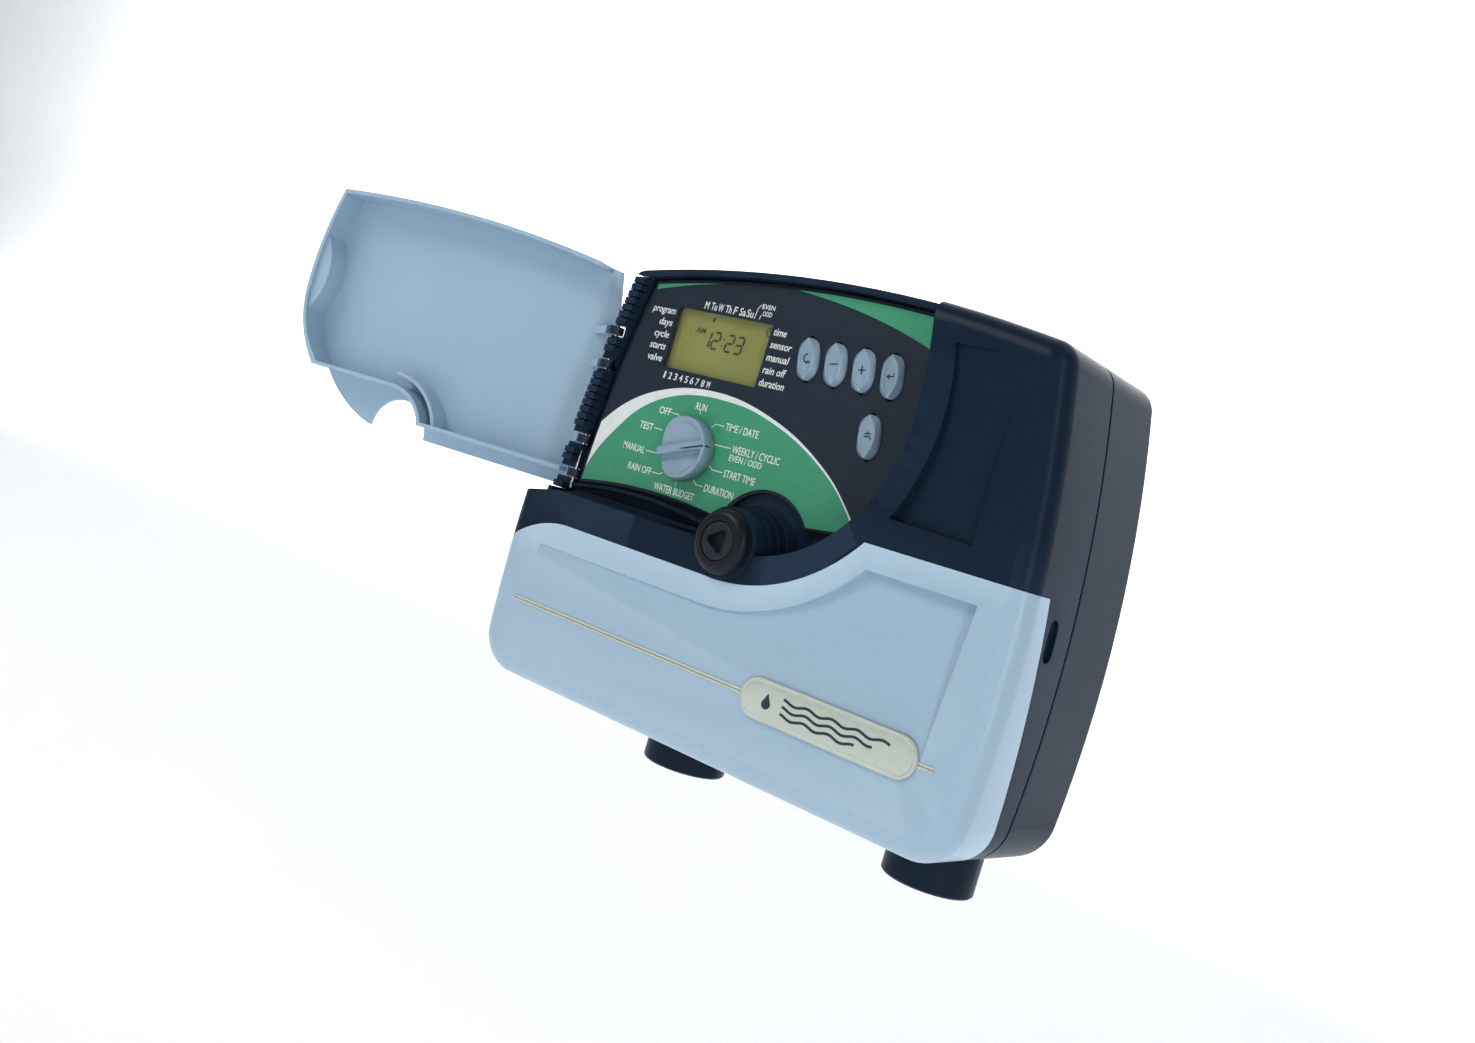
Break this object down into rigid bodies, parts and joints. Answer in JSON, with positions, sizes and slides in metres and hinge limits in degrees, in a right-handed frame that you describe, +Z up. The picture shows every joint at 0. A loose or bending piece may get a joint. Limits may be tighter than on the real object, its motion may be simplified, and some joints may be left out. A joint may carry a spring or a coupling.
{
  "type": "irrigation controller",
  "caption": "Wall-mounted irrigation timer with a side-hinged lid, display, keys, selector dial, cam lock and a pull-off cover over its wiring terminals.",
  "frame": {"origin": "centre of the flat back face, where the case meets the wall", "axes": "+Z up, +Y into the wall, +X to the right of someone facing the front; the front faces -Y"},
  "size_m": [0.3746, 0.098, 0.192],
  "materials": {
    "battery_wrap": "printed steel can",
    "black_plastic": "black polyamide",
    "board": "solder-masked glass epoxy",
    "case_plastic": "fine moulded texture, pale blue",
    "chip": "moulded epoxy",
    "clear_window": "clear acrylic",
    "coil_tape": "yellow winding tape",
    "core_steel": "laminated steel, varnished",
    "cream_plastic": "glossy cream moulding",
    "fuse_glass": "glass tube with nickel caps",
    "key_plastic": "satin, pale blue",
    "lcd": "reflective olive liquid crystal cell",
    "lock_metal": "nickel plate",
    "navy_plastic": "fine moulded texture, dark navy",
    "panel_print": "printed polycarbonate film, green, white and navy",
    "pin_steel": "drawn steel",
    "ribbon_pvc": "grey PVC ribbon",
    "rubber": "soft black rubber",
    "screw_steel": "zinc-plated steel",
    "silicone": "translucent silicone",
    "terminal_plastic": "green polyamide",
    "white_plastic": "gloss white moulding"
  },
  "bodies": {
    "base": {"battery": "battery_wrap", "battery_holder": "black_plastic", "board_chips": "chip", "board_screws": "screw_steel", "bridge_screws": "screw_steel", "cable_clamps": "white_plastic", "case_screws": "screw_steel", "clamp_screws": "screw_steel", "control_panel": "black_plastic", "front_housing": "navy_plastic", "fuse": "fuse_glass", "fuse_holder": "black_plastic", "hinge_pin": "pin_steel", "hinge_spine": "navy_plastic", "keypad_mat": "silicone", "lcd_frame": "white_plastic", "lcd_glass": "lcd", "lcd_window": "clear_window", "lock_bezel": "black_plastic", "lock_bridge": "navy_plastic", "main_board": "board", "mains_terminal": "white_plastic", "mains_terminal_screws": "screw_steel", "panel_overlay": "panel_print", "panel_screws": "screw_steel", "rear_housing": "navy_plastic", "ribbon_cable": "ribbon_pvc", "ribbon_plug": "black_plastic", "rotary_switch": "black_plastic", "seam_seal": "rubber", "terminal_block": "terminal_plastic", "terminal_board": "board", "terminal_board_screws": "screw_steel", "terminal_screws": "screw_steel", "transformer_coil": "coil_tape", "transformer_core": "core_steel", "transformer_screws": "screw_steel"},
    "lid": {"lid": "case_plastic"},
    "selector": {"selector_knob": "key_plastic", "selector_spindle": "black_plastic"},
    "lock": {"lock_rotor": "black_plastic", "lock_cam": "lock_metal", "lock_clip": "lock_metal"},
    "cover": {"terminal_cover": "case_plastic", "accent_strip": "cream_plastic", "badge": "cream_plastic"},
    "key_cycle": {"key_cycle": "key_plastic"},
    "key_minus": {"key_minus": "key_plastic"},
    "key_plus": {"key_plus": "key_plastic"},
    "key_enter": {"key_enter": "key_plastic"},
    "key_tap": {"key_tap": "key_plastic"}
  },
  "joints": [
    {"name": "lid_hinge", "type": "hinge", "parent": "base", "child": "lid", "pos_m": [-0.1043, -0.056, 0.024], "axis": [0, 0, 1], "range_deg": [0, 163]},
    {"name": "selector_turn", "type": "hinge", "parent": "base", "child": "selector", "pos_m": [-0.0483, -0.06, 0.0161], "axis": [0, -1, 0], "continuous": true},
    {"name": "lock_turn", "type": "hinge", "parent": "base", "child": "lock", "pos_m": [-0.0042, -0.07, -0.0121], "axis": [0, 1, 0], "range_deg": [0, 90]},
    {"name": "cover_pull", "type": "slide", "parent": "base", "child": "cover", "axis": [0, -1, 0], "range_m": [0, 0.06]},
    {"name": "key_cycle_press", "type": "slide", "parent": "base", "child": "key_cycle", "axis": [0, 1, 0], "range_m": [0, 0.0012], "stiffness_N_per_m": 700},
    {"name": "key_minus_press", "type": "slide", "parent": "base", "child": "key_minus", "axis": [0, 1, 0], "range_m": [0, 0.0012], "stiffness_N_per_m": 700},
    {"name": "key_plus_press", "type": "slide", "parent": "base", "child": "key_plus", "axis": [0, 1, 0], "range_m": [0, 0.0012], "stiffness_N_per_m": 700},
    {"name": "key_enter_press", "type": "slide", "parent": "base", "child": "key_enter", "axis": [0, 1, 0], "range_m": [0, 0.0012], "stiffness_N_per_m": 700},
    {"name": "key_tap_press", "type": "slide", "parent": "base", "child": "key_tap", "axis": [0, 1, 0], "range_m": [0, 0.0012], "stiffness_N_per_m": 700}
  ]
}
